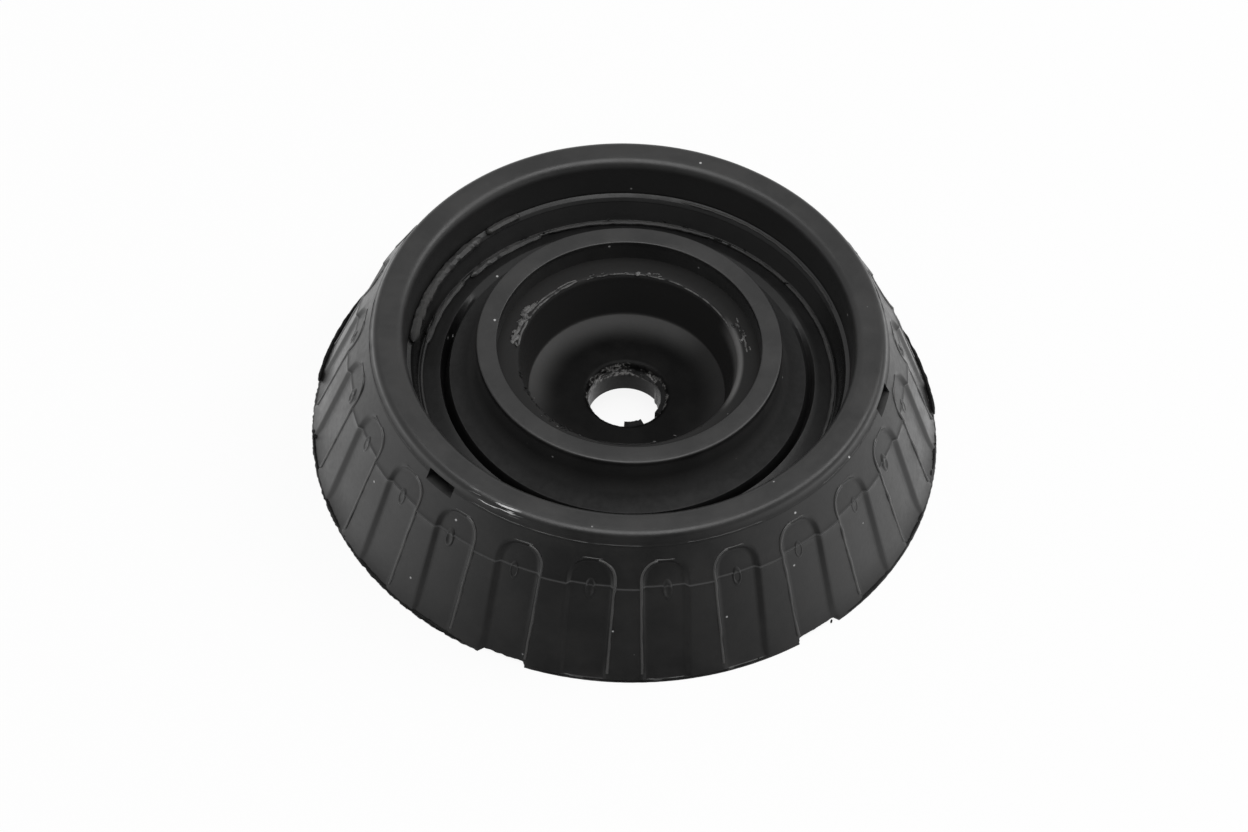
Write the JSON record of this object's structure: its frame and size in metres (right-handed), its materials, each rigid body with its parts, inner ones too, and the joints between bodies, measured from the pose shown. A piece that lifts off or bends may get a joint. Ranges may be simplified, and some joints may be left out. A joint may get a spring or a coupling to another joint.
{
  "type": "strut mount",
  "caption": "Conical rubber-to-metal strut top mount with a fluted wall, a steel cup for the damper rod's nut and a steel seat ring under the base.",
  "frame": {"origin": "centre of the base plane, on the rod bore's axis", "axes": "+Z along the rod's axis from the base to the rim; -Y is the side that faces the camera in the picture; +X to its right"},
  "size_m": [0.1198, 0.1198, 0.0292],
  "materials": {
    "rubber": "moulded black rubber, matt to satin, with flash at the parting lines",
    "coated_steel": "black coated pressed steel, satin",
    "plated_steel": "phosphated grey pressed steel"
  },
  "bodies": {
    "root": {"rubber_body": "rubber", "rod_cup": "coated_steel", "seat_ring": "plated_steel"}
  },
  "joints": []
}
